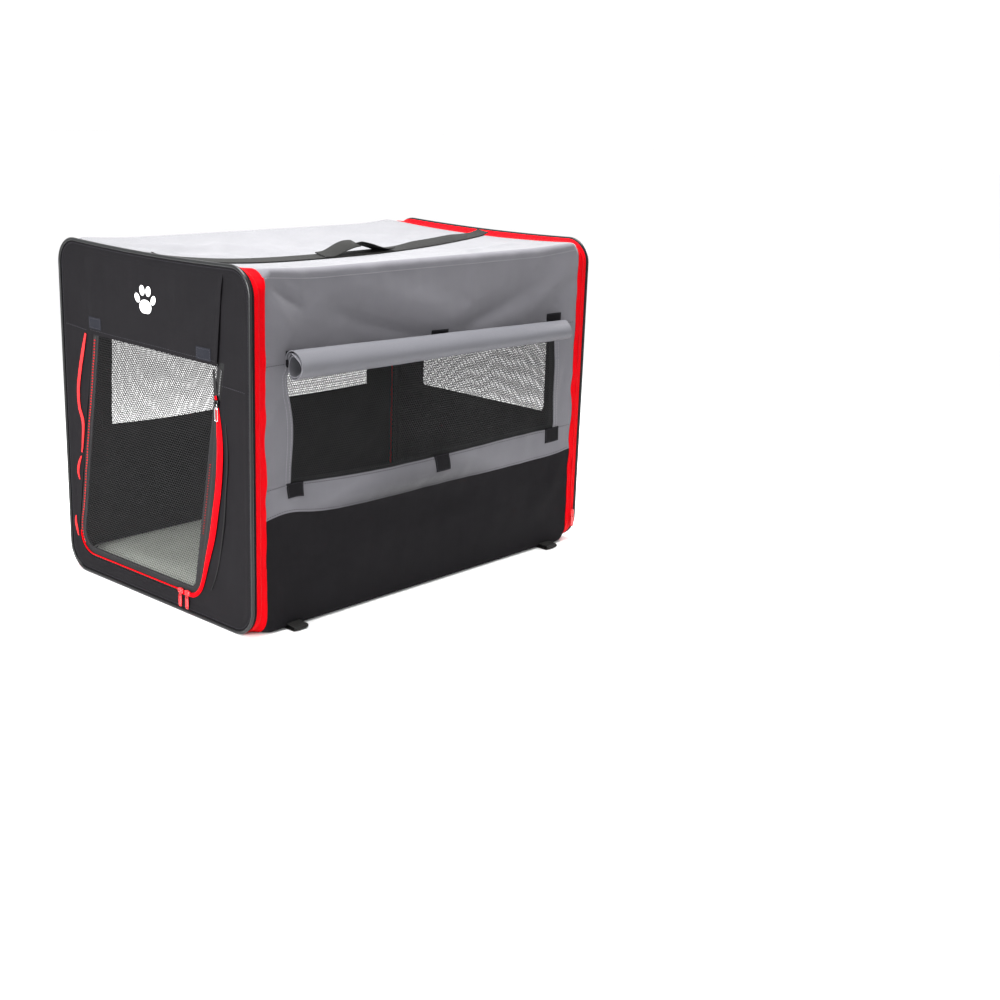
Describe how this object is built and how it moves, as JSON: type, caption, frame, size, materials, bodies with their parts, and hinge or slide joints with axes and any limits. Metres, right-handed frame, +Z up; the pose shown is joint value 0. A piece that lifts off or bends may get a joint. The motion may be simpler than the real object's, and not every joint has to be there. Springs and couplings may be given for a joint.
{
  "type": "folding pet crate",
  "caption": "Soft-sided folding pet crate on a tube frame, with zip-on ends, mesh door and windows, roll-up window covers, floor mat and carrying strap.",
  "frame": {"origin": "on the floor, under the middle of the crate", "axes": "+X from the front (door) end to the rear end, +Y from the near side to the far side, +Z up"},
  "size_m": [0.715, 0.5186, 0.52],
  "materials": {
    "black_cloth": "matt",
    "grey_cloth": "matt",
    "top_cloth": "matt",
    "netting": "matt",
    "webbing": "matt",
    "piping": "satin",
    "zip_red": "satin",
    "tube": "satin",
    "board": "matt",
    "mat_cloth": "matt",
    "hook_patch": "matt",
    "slider_red": "gloss",
    "pull_red": "satin",
    "slider_black": "gloss",
    "pull_silver": "polished"
  },
  "bodies": {
    "base": {"base_shell": "black_cloth", "base_board": "board", "floor_mat": "mat_cloth", "base_rail_near": "tube", "base_rail_far": "tube", "tie_tab_near_front": "webbing", "tie_tab_near_rear": "webbing", "tie_tab_far_front": "webbing", "tie_tab_far_rear": "webbing"},
    "front_end": {"front_panel": "black_cloth", "front_frame": "tube", "front_piping": "piping", "front_zip_band": "zip_red", "door_zip_track": "zip_red"},
    "mesh_door": {"mesh_door": "netting"},
    "door_flap": {"door_flap": "black_cloth", "flap_patch_near": "hook_patch", "flap_patch_far": "hook_patch"},
    "door_near_slider": {"door_near_slider": "slider_red"},
    "door_near_pull": {"door_near_pull": "pull_red"},
    "door_far_slider": {"door_far_slider": "slider_red"},
    "door_far_pull": {"door_far_pull": "pull_red"},
    "door_side_slider": {"door_side_slider": "slider_black"},
    "door_side_pull": {"door_side_pull": "pull_silver"},
    "front_zip_slider": {"front_zip_slider": "slider_red"},
    "front_zip_pull": {"front_zip_pull": "pull_red"},
    "rear_end": {"rear_panel": "black_cloth", "rear_frame": "tube", "rear_piping": "piping", "rear_zip_band": "zip_red", "rear_window": "netting"},
    "rear_zip_slider": {"rear_zip_slider": "slider_red"},
    "rear_zip_pull": {"rear_zip_pull": "pull_red"},
    "top": {"top_panel": "top_cloth", "top_rail_near": "tube", "top_rail_far": "tube", "top_strap": "webbing"},
    "carry_handle": {"carry_handle": "webbing"},
    "near_a": {"near_side_a": "black_cloth"},
    "near_b": {"near_side_b": "grey_cloth", "near_net_b": "netting", "near_patch_1": "hook_patch", "near_patch_2": "hook_patch", "near_patch_3": "hook_patch"},
    "near_c": {"near_side_c": "grey_cloth", "near_net_c": "netting"},
    "near_d": {"near_side_d": "grey_cloth"},
    "near_cover": {"near_cover_roll": "grey_cloth"},
    "far_a": {"far_side_a": "black_cloth"},
    "far_b": {"far_side_b": "grey_cloth", "far_net_b": "netting", "far_patch_1": "hook_patch", "far_patch_2": "hook_patch", "far_patch_3": "hook_patch"},
    "far_c": {"far_side_c": "grey_cloth", "far_net_c": "netting"},
    "far_d": {"far_side_d": "grey_cloth"},
    "far_cover": {"far_cover_roll": "grey_cloth"}
  },
  "joints": [
    {"name": "front_end_fold", "type": "hinge", "parent": "base", "child": "front_end", "pos_m": [-0.3575, 0, 0], "axis": [0, -1, 0], "range_deg": [0, 90]},
    {"name": "rear_end_fold", "type": "hinge", "parent": "base", "child": "rear_end", "pos_m": [0.3575, 0, 0], "axis": [0, 1, 0], "range_deg": [0, 90]},
    {"name": "sleeve_fold", "type": "hinge", "parent": "base", "child": "near_a", "pos_m": [0, -0.217, 0.04], "axis": [-1, 0, 0], "range_deg": [0, 85]},
    {"name": "near_b_fold", "type": "hinge", "parent": "near_a", "child": "near_b", "pos_m": [0, -0.219, 0.161], "axis": [1, 0, 0], "range_deg": [0, 170]},
    {"name": "near_c_fold", "type": "hinge", "parent": "near_b", "child": "near_c", "pos_m": [0, -0.217, 0.2745], "axis": [-1, 0, 0], "range_deg": [0, 170]},
    {"name": "near_d_fold", "type": "hinge", "parent": "near_c", "child": "near_d", "pos_m": [0, -0.219, 0.382], "axis": [1, 0, 0], "range_deg": [0, 170], "deforming": ["near_cover_roll"]},
    {"name": "far_a_fold", "type": "hinge", "parent": "base", "child": "far_a", "pos_m": [0, 0.217, 0.04], "axis": [1, 0, 0], "range_deg": [0, 85]},
    {"name": "far_b_fold", "type": "hinge", "parent": "far_a", "child": "far_b", "pos_m": [0, 0.219, 0.161], "axis": [-1, 0, 0], "range_deg": [0, 170]},
    {"name": "far_c_fold", "type": "hinge", "parent": "far_b", "child": "far_c", "pos_m": [0, 0.217, 0.2745], "axis": [1, 0, 0], "range_deg": [0, 170]},
    {"name": "far_d_fold", "type": "hinge", "parent": "far_c", "child": "far_d", "pos_m": [0, 0.219, 0.382], "axis": [-1, 0, 0], "range_deg": [0, 170], "deforming": ["far_cover_roll"]},
    {"name": "top_level", "type": "hinge", "parent": "near_d", "child": "top", "pos_m": [0, -0.217, 0.497], "axis": [-1, 0, 0], "range_deg": [0, 85]},
    {"name": "carry_handle_lift", "type": "slide", "parent": "top", "child": "carry_handle", "axis": [0, 0, 1], "range_m": [0, 0.012]},
    {"name": "near_cover_unroll", "type": "slide", "parent": "near_d", "child": "near_cover", "axis": [0, 0, 1], "range_m": [-0.15, 0]},
    {"name": "far_cover_unroll", "type": "slide", "parent": "far_d", "child": "far_cover", "axis": [0, 0, 1], "range_m": [-0.15, 0]},
    {"name": "mesh_door_swing", "type": "hinge", "parent": "front_end", "child": "mesh_door", "pos_m": [-0.352, 0, 0.3665], "axis": [0, -1, 0], "range_deg": [-120, 0]},
    {"name": "door_flap_lift", "type": "hinge", "parent": "front_end", "child": "door_flap", "pos_m": [-0.356, 0, 0.4967], "axis": [0, -1, 0], "range_deg": [-100, 0]},
    {"name": "door_near_slider_travel", "type": "slide", "parent": "front_end", "child": "door_near_slider", "axis": [0, -1, 0], "range_m": [0, 0.01]},
    {"name": "door_near_pull_swing", "type": "hinge", "parent": "door_near_slider", "child": "door_near_pull", "pos_m": [-0.357, -0.076, 0.032], "axis": [0, -1, 0], "range_deg": [-100, 0]},
    {"name": "door_far_slider_travel", "type": "slide", "parent": "front_end", "child": "door_far_slider", "axis": [0, 1, 0], "range_m": [0, 0.185]},
    {"name": "door_far_pull_swing", "type": "hinge", "parent": "door_far_slider", "child": "door_far_pull", "pos_m": [-0.357, -0.06, 0.032], "axis": [0, -1, 0], "range_deg": [-100, 0]},
    {"name": "door_side_slider_travel", "type": "slide", "parent": "front_end", "child": "door_side_slider", "axis": [0, -0.1772, 0.9842], "range_m": [-0.24, 0]},
    {"name": "door_side_pull_swing", "type": "hinge", "parent": "door_side_slider", "child": "door_side_pull", "pos_m": [-0.357, -0.15154, 0.325], "axis": [0, -1, 0], "range_deg": [-100, 0]},
    {"name": "front_zip_slider_travel", "type": "slide", "parent": "front_end", "child": "front_zip_slider", "axis": [0, 0, -1], "range_m": [-0.38, 0]},
    {"name": "front_zip_pull_swing", "type": "hinge", "parent": "front_zip_slider", "child": "front_zip_pull", "pos_m": [-0.3455, 0.2265, 0.05], "axis": [1, 0, 0], "range_deg": [0, 100]},
    {"name": "rear_zip_slider_travel", "type": "slide", "parent": "rear_end", "child": "rear_zip_slider", "axis": [0, 0, -1], "range_m": [-0.38, 0]},
    {"name": "rear_zip_pull_swing", "type": "hinge", "parent": "rear_zip_slider", "child": "rear_zip_pull", "pos_m": [0.3455, -0.2265, 0.05], "axis": [-1, 0, 0], "range_deg": [0, 100]}
  ],
  "couplings": [
    {"joint": "near_b_fold", "follows": "sleeve_fold", "ratio": 2},
    {"joint": "near_c_fold", "follows": "sleeve_fold", "ratio": 2},
    {"joint": "near_d_fold", "follows": "sleeve_fold", "ratio": 2},
    {"joint": "far_a_fold", "follows": "sleeve_fold", "ratio": 1},
    {"joint": "far_b_fold", "follows": "sleeve_fold", "ratio": 2},
    {"joint": "far_c_fold", "follows": "sleeve_fold", "ratio": 2},
    {"joint": "far_d_fold", "follows": "sleeve_fold", "ratio": 2},
    {"joint": "top_level", "follows": "sleeve_fold", "ratio": 1}
  ]
}
